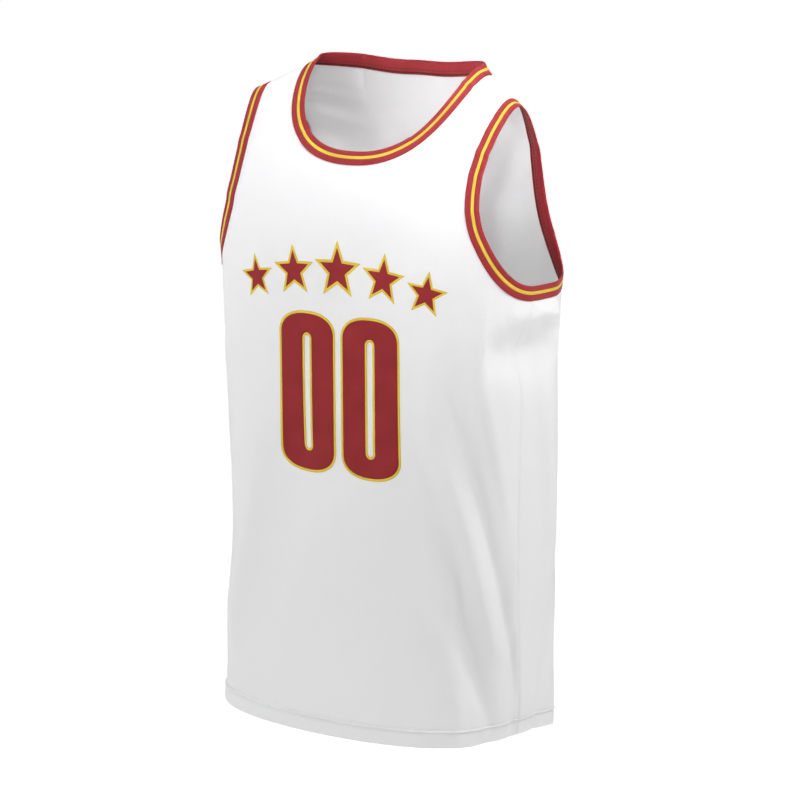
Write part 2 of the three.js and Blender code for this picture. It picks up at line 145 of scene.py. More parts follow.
# Small creases, and hollows under the arms: panel, start (degrees, z), end (degrees, z), how far
# the middle bends in degrees, width, height. Past 90 degrees they run on over the other panel
CREASES = [
    # puckers beside the left side seam
    (BACK, (90, -352), (85.5, -371), 0.3, 3.0, 0.8),
    (BACK, (90, -366), (86, -381), 0.2, 2.6, -0.5),
    (BACK, (90, -382), (87, -392), 0.2, 2.4, 0.5),
    (FRONT, (90, -439), (87, -452), 0.3, 2.4, 0.5),
    (BACK, (90, -441), (86, -430), 0.3, 3.0, 0.7),
    (BACK, (90, -456), (85, -438), 0.3, 3.0, -0.6),
    (FRONT, (90, -520), (87, -540), 0.2, 3.0, 0.4),
    (BACK, (90, -560), (86, -540), 0.3, 3.2, 0.5),
    (FRONT, (90, -615), (86, -640), 0.4, 3.4, 0.5),
    (BACK, (90, -655), (86, -636), 0.3, 3.4, -0.5),
    # below each armhole the side bulges, hangs in, then comes out again
    (FRONT, (70, -260), (116, -264), 0, 16.0, 4.2),
    (FRONT, (56, -298), (114, -308), 0, 28.0, -13.0),
    (FRONT, (93, -255), (116, -262), 0, 9.0, 3.6),
    (FRONT, (-62, -290), (-88, -308), 0, 20.0, -4.0),
    (BACK, (-88, -302), (-54, -306), 0, 24.0, -6.0),
    # under the left armhole
    (FRONT, (86, -262), (80, -300), 1.0, 5.0, -1.2),
    (FRONT, (76, -252), (66, -296), 1.5, 8.0, 1.7),
    (BACK, (87, -258), (81, -296), -1.0, 6.0, 1.6),
    (BACK, (80, -262), (72, -312), -1.2, 8.0, -1.6),
    # the left shoulder
    (FRONT, (27, -10), (44, -30), 0.6, 3.6, 1.6),
    (FRONT, (29, -24), (43, -46), 0.5, 4.0, -1.6),
    (FRONT, (32, -42), (42, -60), 0.4, 4.0, 1.4),
    (FRONT, (36, -70), (44, -84), 0.3, 4.5, 1.2),
    (FRONT, (37, -96), (43.5, -112), 0.3, 5.0, 1.1),
    (FRONT, (36, -136), (43, -148), 0.3, 6.0, 1.0),
    # the right shoulder and side of the neck
    (FRONT, (-28, -16), (-43, -40), -0.6, 5.0, 0.8),
    (FRONT, (-33, -70), (-43, -92), -0.5, 6.0, 0.7),
    (FRONT, (-34, -126), (-44, -158), -0.6, 8.0, 1.0),
    # across the upper back, inside which they show through the neck
    (BACK, (-35, -22), (-14, -32), 1.5, 4.0, 1.3),
    (BACK, (-36, -31), (-8, -47), 1.2, 4.5, -1.5),
    (BACK, (-37, -41), (-17, -58), 1.2, 4.5, 1.4),
    (BACK, (-37, -54), (-12, -80), 1.0, 5.5, -1.7),
    (BACK, (-38, -68), (-20, -96), 1.0, 6.0, 1.6),
    (BACK, (-38, -88), (-22, -116), 1.0, 8.0, -2.0),
    (BACK, (6, -34), (32, -24), 1.2, 8.0, 1.2),
    (BACK, (10, -52), (36, -40), 1.0, 9.0, -1.2),
    (BACK, (18, -92), (38, -76), 0.8, 10.0, 1.2),
    # down the back panel on both sides
    (BACK, (52, -230), (66, -330), 2.0, 14.0, 2.0),
    (BACK, (-50, -236), (-68, -344), -2.0, 14.0, 2.2),
    (BACK, (40, -640), (52, -742), 1.0, 12.0, 2.0),
    (BACK, (-60, -600), (-44, -740), 1.0, 13.0, -2.0),
    (BACK, (-78, -420), (-66, -560), 1.0, 12.0, 1.6),
    # puckers beside the right side seam
    (FRONT, (-90, -336), (-86, -352), 0.2, 3.0, 0.7),
    (BACK, (-90, -402), (-86, -388), 0.2, 3.0, 0.6),
    (FRONT, (-90, -470), (-86, -486), 0.2, 3.0, 0.6),
    (BACK, (-90, -545), (-86, -566), 0.2, 3.0, -0.6),
    (FRONT, (-90, -640), (-86, -622), 0.2, 3.2, 0.6),
    (FRONT, (-86, -260), (-79, -306), -1.0, 6.0, 1.2),
    (BACK, (-86, -262), (-78, -304), -1.0, 6.0, 1.3),
    # along the hem, which curls in a little at the left
    (FRONT, (58, -752), (124, -750), 0, 26.0, -7.0),
    (FRONT, (-88, -728), (-84, -744), 0.2, 4.0, 0.8),
    (FRONT, (-64, -732), (-58, -752), 0.4, 7.0, 0.7),
    (FRONT, (-21, -736), (-25, -756), 0.3, 8.0, 0.6),
    (FRONT, (18, -737), (14, -757), 0.3, 9.0, -0.6),
    (FRONT, (61, -729), (67, -748), 0.3, 5.0, 0.9),
    (FRONT, (79, -722), (82, -742), 0.2, 3.4, 0.8),
    (FRONT, (85, -722), (86, -741), 0.2, 2.8, -0.8),
    (BACK, (86, -722), (83, -742), 0.2, 3.0, 0.9),
    (BACK, (80, -724), (74, -744), 0.3, 4.0, 0.9),
    (BACK, (71, -726), (64, -744), 0.3, 5.0, -0.7),
    (BACK, (30, -730), (24, -752), 0.3, 8.0, 0.7),
    (BACK, (-34, -730), (-40, -750), 0.3, 8.0, 0.8),
    (BACK, (-82, -724), (-78, -744), 0.3, 4.0, 0.9),
]
CREASE_POINTS = 14

# The cloth's two faces, and the hem's outer face, measured out from the CAD wall's inside
CLOTH_INSIDE = 0.2
CLOTH_OUTSIDE = 1.3
HEM_OUTSIDE = 2.1
HEM_DEPTH = 20
HEM_EDGE_ROUND = 1.2
HEM_ROWS = [0, 0.12, 0.4, 0.8, 1.3, 2.5, 5, 8, 11, 14, 15.6, 16.4, 17, 17.6, 18.2, 18.8]
HEM_ROWS += [19.4, 20, 20.6, 21.2, 22, 23.5, 26]
HEM_STITCHES = (17, 20.4)
HEM_RIDGE = {"up": 18.7, "height": 0.9, "width": 0.9}
HEM_GROOVE = {"depth": 0.7, "width": 0.65}
SIDE_SEAM_DIP = {"depth": 1.7, "width": 2.6}

# Threads: length, gap, width and height of a stitch. The bands' row runs inside, that far from
# the edge where the cloth is sewn on
HEM_THREAD = (2.5, 0.9, 0.6, 0.38)
BAND_THREAD = (2.6, 2.0, 1.2, 0.5)
BAND_STITCHES_IN = 5.0
BAND_STITCHES_OUT = -0.12

# The flat cloth is as wide as a ring of this radius is round, for the knit's coordinates
FLAT_RADIUS = 205

# Steps of the cloth's mesh over half a panel
ARM_COLUMNS = 34
SHOULDER_COLUMNS = 22
NECK_COLUMNS = 34
BODY_ROWS = 128
ARM_LOW_SHARE = 0.33
NECK_LOW_SHARE = 0.62
SEAM_CROWDING = 1.5

# Bands: how far round each stretch has a step, the lean of the neck band, and the section as
# (how far into the opening, how far out), with the colour of the stretch that starts there
BAND_STEPS = 190
NECK_LEAN_FRONT = -4.5
NECK_LEAN_BACK = 12.5
NECK_LEAN_DEPTH = 60
# The stretches marked shade are painted shade: dark strips in the grooves along both edges of the
# gold stripe and beside the seam inside, where shadow falls
BAND_SECTION = [
    (-1.1, 1.2, "crimson"),
    (-1.0, 2.0, "crimson"),
    (-0.4, 2.35, "crimson"),
    (0.8, 2.45, "crimson"),
    (3.2, 2.4, "crimson"),
    (5.8, 2.35, "shade"),
    (6.2, 2.15, "gold"),
    (6.6, 2.45, "gold"),
    (8.1, 2.55, "gold"),
    (9.6, 2.45, "gold"),
    (10.0, 2.15, "shade"),
    (10.4, 2.35, "crimson"),
    (13.0, 2.4, "crimson"),
    (15.2, 2.3, "crimson"),
    (15.9, 1.9, "crimson"),
    (16.1, 1.2, "crimson"),
    (15.9, 0.4, "crimson"),
    (15.0, 0.0, "crimson"),
    (9.0, -0.1, "crimson"),
    (3.6, -0.1, "crimson"),
    (2.0, -0.25, "shade"),
    (0.7, -0.05, "shade"),
    (0.3, -0.5, "crimson"),
    (-1.0, -0.5, "crimson"),
    (-1.3, 0.1, "crimson"),
]
SEAM_SECTION = [(-0.8, 0.9), (-0.7, 1.6), (-0.3, 2.0), (0.3, 2.0), (0.7, 1.6), (0.8, 0.9)]

# The number and the stars on the front: sizes and places
NUMBER_Z = -366
NUMBER_X = 45.5
ZERO = {
    "half_width": 38.6,
    "height": 182.2,
    "corner": 25,
    "slot_half_width": 6.75,
    "slot_height": 138,
}
OUTLINE = 2.9
PRINT_OUTSIDE = 0.3
STARS = [
    # across, height, tip radius, turned by degrees
    (-122, -239, 27, 9),
    (-64.5, -227, 31, 5),
    (0, -222, 35, 0),
    (64.5, -227, 31, -5),
    (122, -239, 27, -9),
]
STAR_WAIST = 0.43
STAR_CRIMSON = 0.76

# Camera and room, in metres
CAMERA_AZIMUTH = 37.415
CAMERA_ELEVATION = 9.162
CAMERA_DISTANCE = 4.42
CAMERA_ROLL = 0.6
CAMERA_AIM = (0.0193, -0.3808)
CAMERA_LENS = 171.6
FLOOR_Z = -1.45
FLOOR_SIZE = 90
FLOOR_GLOW = 1.0
FLOOR_GLOW_FROM = 1.2
FLOOR_GLOW_TO = 2.1
WORLD_STRENGTH = 0.01

# Soft lights: name, place, aim, size, power and how wide they spread, in degrees
LIGHTS = [
    ("chest_light", (1.5, -2.4, 0.85), (0.06, 0.02, -0.12), 0.45, 0.24, 20),
    ("arm_light", (1.5, -2.4, 0.85), (0.17, 0.06, -0.09), 0.2, 0.13, 8),
    ("neck_light", (-0.9, -2.2, 1.3), (0.05, 0.08, -0.04), 0.25, 0.12, 9),
    ("front_light", (-0.45, -1.7, 0.75), (0, 0, -0.2), 0.5, 7, 180),
    ("key_light", (0.9, -1.55, 0.7), (0, 0, -0.1), 0.5, 2.4, 180),
    ("top_light", (0.1, -0.5, 2.2), (0, 0, -0.2), 1.4, 26, 180),
    ("left_light", (-1.4, -0.9, 0.4), (0, 0, -0.3), 0.7, 12, 180),
    ("side_light", (1.5, -0.2, 1.2), (0, 0, -0.3), 0.4, 17, 180),
    ("right_light", (1.1, 0.45, 1.1), (0, 0, -0.3), 0.4, 18, 180),
]


# The form


def full_sine(angle, fullness):
    return (np.sin(angle) + fullness * np.sin(3 * angle)) / (1 - fullness)


def full_cosine(angle, fullness):
    return (np.cos(angle) - fullness * np.cos(3 * angle)) / (1 - fullness)


def smoothstep(value, low, high):
    t = np.clip((value - low) / (high - low), 0, 1)
    return t * t * (3 - 2 * t)


def ring_size(column, z):
    """A smooth curve through one column of the ring table, level at the chest."""
    down = np.array(RINGS["down"])
    size = np.array(RINGS[column], float)
    last = len(down) - 1
    after = np.minimum(np.arange(last + 1) + 1, last)
    before = np.maximum(np.arange(last + 1) - 1, 0)
    slope = (size[after] - size[before]) / (down[after] - down[before])
    slope[0] = 0
    t = np.clip((CHEST_Z - z) / (CHEST_Z + LENGTH), 0, 1.02)
    k = np.clip(np.searchsorted(down, t) - 1, 0, last - 1)
    span = down[k + 1] - down[k]
    u = (t - down[k]) / span
    rise = size[k + 1] - size[k]
    bends = slope[k] * span * u * (1 - u) ** 2 - slope[k + 1] * span * u * u * (1 - u)
    return size[k] + rise * u * u * (3 - 2 * u) + bends


def shoulder_z(x):
    slope_part = np.hypot(x, SHOULDER_ROUND) - math.hypot(NECK_HALF_WIDTH, SHOULDER_ROUND)
    dip = np.exp(-((x / SHOULDER_DIP_WIDTH) ** 2))
    neck_dip = math.exp(-((NECK_HALF_WIDTH / SHOULDER_DIP_WIDTH) ** 2))
    return -SHOULDER_SLOPE * slope_part - SHOULDER_DIP * (dip - neck_dip)


def smooth_point(panel, turn, rise):
    """The cloth without folds. turn runs from -90 to 90 degrees between the side seams, and rise
    is 0 at the chest and RISE_TO_SHOULDER on the shoulder line."""
    ring_z = CHEST_Z + np.minimum(rise, 0)
    lift = QUARTER * np.clip(rise / RISE_TO_SHOULDER, 0, 1)
    over = np.sin(lift) ** 2
    x = ring_size("half_width", ring_z) * full_sine(turn, panel["fullness"])
    depth = ring_size(panel["depth"], ring_z) * np.cos(lift) * (1 + panel["shoulder_fill"] * over)
    outwards = (np.abs(x) - NECK_HALF_WIDTH) / (SHOULDER_HALF_WIDTH - NECK_HALF_WIDTH)
    shoulder_y = SHOULDER_BACK - TIP_FORWARD * np.clip(outwards, -1, 1.5)
    middle = ring_size("middle", ring_z) * (1 - over) + shoulder_y * over
    y = middle + panel["side"] * depth * full_cosine(turn, panel["fullness"])
    z = np.where(rise < 0, ring_z, CHEST_Z + (shoulder_z(x) - CHEST_Z) * np.sin(lift))
    return np.stack([x, y, z], -1)


def unit(vectors):
    return vectors / np.linalg.norm(vectors, axis=-1, keepdims=True)


def cloth_steps(panel, turn, rise):
    d_turn = 0.002
    d_rise = 0.5
    low = np.minimum(rise, RISE_TO_SHOULDER - d_rise) - d_rise
    ahead = smooth_point(panel, turn + d_turn, rise)
    behind = smooth_point(panel, turn - d_turn, rise)
    above = smooth_point(panel, turn, low + 2 * d_rise)
    below = smooth_point(panel, turn, low)
    return (ahead - behind) / (2 * d_turn), (above - below) / (2 * d_rise)


def outward_normal(panel, turn, rise):
    along_turn, along_rise = cloth_steps(panel, turn, rise)
    return unit(np.cross(along_turn, along_rise) * -panel["side"])


def fold_height(panel, turn, rise):
    half_ring = ring_size("half_width", CHEST_Z + np.minimum(rise, 0))
    to_seam = (QUARTER - np.abs(turn)) * half_ring
    total = np.zeros(np.shape(turn))
    for folds, margin in ((FOLDS, FOLD_SEAM_MARGIN), (DRAPE, DRAPE_SEAM_MARGIN)):
        from_seam = smoothstep(to_seam, 0, margin)
        for owner, across, heights, width, height in folds:
            if owner is not panel:
                continue
            start, end = np.radians(across)
            start_rise, end_rise = (z - CHEST_Z for z in heights)
            along = (start_rise - rise) / (start_rise - end_rise)
            clamped = np.clip(along, 0, 1)
            beside = (turn - start - (end - start) * clamped) * half_ring / width
            beyond = (along - clamped) * (start_rise - end_rise) / FOLD_END
            total += height * np.exp(-beside * beside - beyond * beyond) * from_seam
    return total


def rise_at(panel, turn, z):
    """The rise at which a column of the cloth reaches a height."""
    x = RINGS["half_width"][0] * full_sine(turn, panel["fullness"])
    fraction = np.clip((z - CHEST_Z) / (shoulder_z(x) - CHEST_Z), 0, 1)
    return np.where(z < CHEST_Z, z - CHEST_Z, RISE_TO_SHOULDER * np.arcsin(fraction) / QUARTER)


def crease_lines():
    lines = []
    for panel, start, end, bend, width, height in CREASES:
        s = np.linspace(0, 1, CREASE_POINTS)
        degrees = start[0] + (end[0] - start[0]) * s + bend * 4 * s * (1 - s)
        z = start[1] + (end[1] - start[1]) * s
        other = BACK if panel is FRONT else FRONT
        turn = np.radians(np.clip(degrees, -90, 90))
        own_points = smooth_point(panel, turn, rise_at(panel, turn, z))
        turn = np.radians(np.sign(degrees) * np.minimum(180 - np.abs(degrees), 90))
        other_points = smooth_point(other, turn, rise_at(other, turn, z))
        over = (np.abs(degrees) > 90)[:, None]
        lines.append((np.where(over, other_points, own_points), width, height))
    return lines


CREASE_LINES = crease_lines()


def crease_height(points):
    """The sum of the small creases at points of the smooth cloth."""
    flat = points.reshape(-1, 3)
    total = np.zeros(len(flat))
    for line, width, height in CREASE_LINES:
        reach = 3 * width
        near = ((flat > line.min(0) - reach) & (flat < line.max(0) + reach)).all(1)
        if not near.any():
            continue
        place = flat[near][:, None, :]
        start, step = line[:-1], np.diff(line, axis=0)
        along = ((place - start) * step).sum(-1) / (step * step).sum(-1)
        along = np.clip(along, 0, 1)
        distance = np.linalg.norm(place - start - along[..., None] * step, axis=-1)
        nearest = distance.argmin(1)
        rows = np.arange(len(nearest))
        share = (nearest + along[rows, nearest]) / len(step)
        fade = 1 - (2 * share - 1) ** 4
        total[near] += height * fade * np.exp(-((distance[rows, nearest] / width) ** 2))
    return total.reshape(points.shape[:-1])


def hem_z(panel, turn):
    return -LENGTH + HEM_SIDE_RISE * np.sin(turn) ** 2 + panel["hem_lift"] * np.cos(turn) ** 2


def hem_height(panel, turn, rise):
    """The ridge that the two rows of hem stitches raise between them, and their grooves."""
    up = CHEST_Z + rise - hem_z(panel, turn)
    ridge = HEM_RIDGE["height"] * np.exp(-(((up - HEM_RIDGE["up"]) / HEM_RIDGE["width"]) ** 2))
    for row in HEM_STITCHES:
        ridge = ridge - HEM_GROOVE["depth"] * np.exp(-(((up - row) / HEM_GROOVE["width"]) ** 2))
    return ridge


def seam_dip(turn, rise):
    """The side seams pull the cloth in a little beside them."""
    beside = (QUARTER - np.abs(turn)) * ring_size("half_width", CHEST_Z + np.minimum(rise, 0))
    below = 1 - smoothstep(rise, UNDERARM_RISE - 4, UNDERARM_RISE + 2)
    return -SIDE_SEAM_DIP["depth"] * below * np.exp(-((beside / SIDE_SEAM_DIP["width"]) ** 2))


def cloth_point(panel, turn, rise, outwards):
    """A point of the cloth with all its folds, moved outwards by a distance."""
    smooth = smooth_point(panel, turn, rise)
    height = fold_height(panel, turn, rise) + crease_height(smooth)
    height = height + hem_height(panel, turn, rise) + seam_dip(turn, rise)
    return smooth + outward_normal(panel, turn, rise) * (height + outwards)[..., None]


# The pieces' edges, as rows of (turn, rise)


def turn_at_width(panel, share):
    """The turn at which a ring reaches a share of its half width from the middle."""
    turns = np.linspace(0, QUARTER, 4000)
    reached = np.interp(np.abs(share), full_sine(turns, panel["fullness"]), turns)
    return np.sign(share) * reached


def turn_at_half_width(panel, x):
    return turn_at_width(panel, np.asarray(x) / RINGS["half_width"][0])


def neckline_place(panel, t):
    fraction = (panel["neck_z"] - CHEST_Z) / (shoulder_z(0) - CHEST_Z)
    lowest = RISE_TO_SHOULDER * math.asin(fraction) / QUARTER
    turn = turn_at_half_width(panel, NECK_HALF_WIDTH) * full_sine(t, panel["neck_fullness"])
    up = 1 - full_cosine(t, panel["neck_fullness"])
    return np.stack([turn, lowest + (RISE_TO_SHOULDER - lowest) * up], -1)


def armhole_place(panel, t):
    reach = QUARTER - turn_at_half_width(panel, SHOULDER_HALF_WIDTH)
    whole = RISE_TO_SHOULDER - UNDERARM_RISE
    rise = UNDERARM_RISE + whole * (1 - full_cosine(t, panel["arm_fullness"]))
    squared = np.clip((RISE_TO_SHOULDER - rise) / whole, 0, 1) ** 2
    cut = math.radians(panel["arm_cut"]) * 4 * squared * (1 - squared)
    turn = QUARTER - reach * full_sine(t, panel["arm_fullness"]) - cut
    return np.stack([turn, rise], -1)


def places_along(panel, place_at, shares):
    """Places at shares of the length of half an edge."""
    t = np.linspace(0, QUARTER, 900)
    places = place_at(panel, t)
    points = smooth_point(panel, places[:, 0], places[:, 1])
    steps = np.linalg.norm(np.diff(points, axis=0), axis=1)
    lengths = np.concatenate([[0], np.cumsum(steps)])
    return place_at(panel, np.interp(np.asarray(shares) * lengths[-1], lengths, t))


def two_stretches(share, first_steps, second_steps, crowding=1.0):
    first = share * np.linspace(0, 1, first_steps, endpoint=False) ** crowding
    return np.concatenate([first, np.linspace(share, 1, second_steps + 1)])


def row_between(start, end, steps):
    return start + (end - start) * np.linspace(0, 1, steps + 1)[:, None]


def filled_rows(bottom, top, left, right=None):
    """Rows between a bottom and a top row that also follow one or two side edges."""
    v = np.linspace(0, 1, len(left))[:, None, None]
    u = np.linspace(0, 1, len(bottom))[None, :, None]
    straight = bottom * (1 - v) + top * v
    grid = straight + (1 - u) * (left - straight[:, 0])[:, None]
    if right is not None:
        grid = grid + u * (right - straight[:, -1])[:, None]
    return grid


def half_panel_grid(panel):
    """The left half of a panel's places, from the side seam to the middle, and the distance of
    each row above the hem's edge where it belongs to the hem."""
    up_rows = panel["chest_rows"] + panel["strap_rows"]
    arm_shares = two_stretches(ARM_LOW_SHARE, ARM_COLUMNS, up_rows, SEAM_CROWDING)
    arm = places_along(panel, armhole_place, arm_shares)
    neck_shares = two_stretches(NECK_LOW_SHARE, NECK_COLUMNS, panel["strap_rows"])
    neck = places_along(panel, neckline_place, neck_shares)
    arm_corner = arm[ARM_COLUMNS]
    chest_line = row_between(
        arm_corner, np.array([0, arm_corner[1]]), SHOULDER_COLUMNS + NECK_COLUMNS
    )
    body_top = np.concatenate([arm[:ARM_COLUMNS], chest_line])
    turns = body_top[:, 0]
    hem_up = np.array(HEM_ROWS, float)[:, None]
    hem = np.stack(np.broadcast_arrays(turns, hem_z(panel, turns) + hem_up - CHEST_Z), -1)
    side_seam = row_between(hem[-1, 0], body_top[0], BODY_ROWS)
    body = filled_rows(hem[-1], body_top, side_seam)

    chest_side = arm[ARM_COLUMNS : ARM_COLUMNS + panel["chest_rows"] + 1]
    strap_side = arm[ARM_COLUMNS + panel["chest_rows"] :]
    strap_bottom = row_between(strap_side[0], neck[NECK_COLUMNS], SHOULDER_COLUMNS)
    chest_top = np.concatenate([strap_bottom, neck[:NECK_COLUMNS][::-1]])
    chest = filled_rows(chest_line, chest_top, chest_side)
    shoulder_x = np.linspace(SHOULDER_HALF_WIDTH, NECK_HALF_WIDTH, SHOULDER_COLUMNS + 1)
    shoulder_turns = turn_at_half_width(panel, shoulder_x)
    strap_top = np.stack([shoulder_turns, np.full(len(shoulder_x), RISE_TO_SHOULDER)], -1)
    strap = filled_rows(strap_bottom, strap_top, strap_side, neck[NECK_COLUMNS:])

    blank = np.full((1, len(turns), 2), np.nan)
    upper = np.repeat(blank, len(chest) + len(strap) - 2, axis=0)
    upper[: len(chest) - 1, ARM_COLUMNS:] = chest[1:]
    upper[len(chest) - 1 :, ARM_COLUMNS : ARM_COLUMNS + SHOULDER_COLUMNS + 1] = strap[1:]
    grid = np.concatenate([hem, body[1:], upper])
    ups = np.full(len(grid), 100.0)
    ups[: len(HEM_ROWS)] = HEM_ROWS
    return grid, ups


# Meshes


def make_object(name, points, faces, materials, face_materials=None, uvs=None):
    """A smooth-shaded object that rides on the jersey. points are in millimetres."""
    mesh = bpy.data.meshes.new(name)
    mesh.from_pydata((np.asarray(points) * MM).tolist(), [], faces)
    for material in materials:
        mesh.materials.append(material)
    if face_materials is not None:
        mesh.polygons.foreach_set("material_index", np.asarray(face_materials, dtype=np.int32))
    if uvs is not None:
        layer = mesh.uv_layers.new(name="cloth")
        layer.data.foreach_set("uv", (np.asarray(uvs, dtype=np.float32) * MM).ravel())
    mesh.shade_smooth()
    mesh.validate()
    made = bpy.data.objects.new(name, mesh)
    bpy.context.scene.collection.objects.link(made)
    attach(made, "root")
    return made


def wall_object(name, inner, outer, present, flat_places, material):
    """A closed cloth wall from matching grids of inner and outer points."""
    index = np.full(present.shape, -1)
    index[present] = np.arange(present.sum())
    count = int(present.sum())
    cell = present[:-1, :-1] & present[:-1, 1:] & present[1:, 1:] & present[1:, :-1]
    corners = [index[:-1, :-1], index[:-1, 1:], index[1:, 1:], index[1:, :-1]]
    a, b, c, d = (corner[cell] for corner in corners)
    faces = [np.stack([a, b, c, d], 1) + count, np.stack([d, c, b, a], 1)]
    padded = np.pad(cell, 1)
    open_sides = [padded[:-2, 1:-1], padded[1:-1, 2:], padded[2:, 1:-1], padded[1:-1, :-2]]
    for side, neighbour in enumerate(open_sides):
        rim = cell & ~neighbour
        start, end = corners[side][rim], corners[(side + 1) % 4][rim]
        faces.append(np.stack([start, end, end + count, start + count], 1))
    faces = np.concatenate(faces)
    points = np.concatenate([inner[present], outer[present]])
    flat = np.concatenate([flat_places[present]] * 2)
    return make_object(name, points, faces.tolist(), [material], uvs=flat[faces.ravel()])


def run_length(points, closed):
    ring = np.concatenate([points, points[:1]]) if closed else points
    steps = np.linalg.norm(np.diff(ring, axis=0), axis=1)
    return np.concatenate([[0], np.cumsum(steps)])


def extruded_object(name, points, across, outwards, section, closed, materials, tones=None):
    """A section run along stations. Each station is a point with an across and an outward
    direction, and the section is rows of (across, outwards)."""
    count, size = len(points), len(section)
    rows = np.array([row[:2] for row in section], float)
    place = points[:, None] + across[:, None] * rows[None, :, :1]
    place = place + outwards[:, None] * rows[None, :, 1:]
    lengths = run_length(points, closed)
    girth = run_length(rows, True)
    k = np.arange(count if closed else count - 1)[:, None]
    c = np.arange(size)[None, :]
    ahead, beside = (k + 1) % count, (c + 1) % size
    quads = [k * size + c, k * size + beside, ahead * size + beside, ahead * size + c]
    faces = np.stack(quads, -1).reshape(-1, 4)
    along = [lengths[k + 0 * c], lengths[k + 0 * c], lengths[k + 1 + 0 * c], lengths[k + 1 + 0 * c]]
    round_it = [girth[c + 0 * k], girth[c + 1 + 0 * k], girth[c + 1 + 0 * k], girth[c + 0 * k]]
    uvs = np.stack([np.stack(along, -1), np.stack(round_it, -1)], -1).reshape(-1, 2)
    face_list = faces.tolist()
    face_tones = None if tones is None else np.tile(tones, len(k)).tolist()
    if not closed:
        face_list.append(list(range(size))[::-1])
        face_list.append(list(range((count - 1) * size, count * size)))
        uvs = np.concatenate([uvs, np.zeros((2 * size, 2))])
        if face_tones is not None:
            face_tones += [0, 0]
    made = make_object(
        name, place.reshape(-1, 3), face_list, materials, face_materials=face_tones, uvs=uvs
    )
    turn_outside_out(made)
    return made


def turn_outside_out(made):
    """Flips a closed mesh whose faces point inwards."""
    mesh = made.data
    volume = 0.0
    for face in mesh.polygons:
        volume += face.center.dot(face.normal) * face.area
    if volume < 0:
        mesh.flip_normals()


def stitches_object(name, starts, ends, normals, width, height, material):
    """A row of threads, each a short rounded pad from its start to its end."""
    along = unit(ends - starts)
    side = np.cross(along, normals)
    profile = [(0, 0.35), (0.22, 1.0), (0.78, 1.0), (1, 0.35)]
    ring = [(-1, 0), (-0.7, 0.75), (0, 1), (0.7, 0.75), (1, 0)]
    points = []
    for share, size in profile:
        centre = starts + (ends - starts) * share
        for across, out in ring:
            shift = side * across * width / 2 * size + normals * out * height * size
            points.append(centre + shift)
    points = np.stack(points, 1)
    per = len(profile) * len(ring)
    faces = []
    for k in range(len(starts)):
        first = k * per
        for row in range(len(profile) - 1):
            for col in range(len(ring) - 1):
                corner = first + row * len(ring) + col
                faces.append([corner, corner + 1, corner + 1 + len(ring), corner + len(ring)])
        faces.append([first + col for col in range(len(ring))])
        faces.append([first + per - 1 - col for col in range(len(ring))])
    return make_object(name, points.reshape(-1, 3), faces, [material])


def stitched_row(name, line, normals, thread, material, closed=False):
    """Stitches of one length at even steps along a line of points."""
    stitch, gap, width, height = thread
    ring = np.concatenate([line, line[:1]]) if closed else line
    ring_normals = np.concatenate([normals, normals[:1]]) if closed else normals
    lengths = run_length(line, closed)
    count = int(lengths[-1] // (stitch + gap))
    begin = np.arange(count) * lengths[-1] / count + gap / 2

    def at(distance, values):
        return np.stack([np.interp(distance, lengths, values[:, i]) for i in range(3)], -1)

    middle_normals = unit(at(begin + stitch / 2, ring_normals))
    return stitches_object(
        name, at(begin, ring), at(begin + stitch, ring), middle_normals, width, height, material
    )


# Materials


def node_material(name):
    material = bpy.data.materials.new(name)
    material.use_nodes = True
    tree = material.node_tree
    return material, tree, tree.nodes["Principled BSDF"]


def cloth_coordinates(tree):
    """The cloth's own coordinates, in metres along and across it."""
    uv = tree.nodes.new("ShaderNodeUVMap")
    uv.uv_map = "cloth"
    return uv.outputs["UV"]


def noise(tree, vector, scale, detail=2.0):
    made = tree.nodes.new("ShaderNodeTexNoise")
    made.inputs["Scale"].default_value = scale
    made.inputs["Detail"].default_value = detail
    tree.links.new(vector, made.inputs["Vector"])
    return made.outputs["Fac"]


def wave(tree, vector, scale, direction):
    made = tree.nodes.new("ShaderNodeTexWave")
    made.bands_direction = direction
    made.inputs["Scale"].default_value = scale
    made.inputs["Distortion"].default_value = 0.35
    made.inputs["Detail"].default_value = 1.0
    tree.links.new(vector, made.inputs["Vector"])
    return made.outputs["Fac"]


def maths(tree, operation, first, second):
    made = tree.nodes.new("ShaderNodeMath")
    made.operation = operation
    for socket, value in zip(made.inputs, (first, second)):
        if isinstance(value, (int, float)):
            socket.default_value = value
        else:
            tree.links.new(value, socket)
    return made.outputs["Value"]


def mixed_colour(tree, shader, factor, low, high):
    ramp = tree.nodes.new("ShaderNodeValToRGB")
    ramp.color_ramp.elements[0].color = (*low, 1)
    ramp.color_ramp.elements[1].color = (*high, 1)
    ramp.color_ramp.elements[0].position = 0.3
    ramp.color_ramp.elements[1].position = 0.7
    tree.links.new(factor, ramp.inputs["Fac"])
    tree.links.new(ramp.outputs["Color"], shader.inputs["Base Color"])


def bumped(tree, shader, height, strength, distance):
    bump = tree.nodes.new("ShaderNodeBump")
    bump.inputs["Strength"].default_value = strength
    bump.inputs["Distance"].default_value = distance
    tree.links.new(height, bump.inputs["Height"])
    tree.links.new(bump.outputs["Normal"], shader.inputs["Normal"])


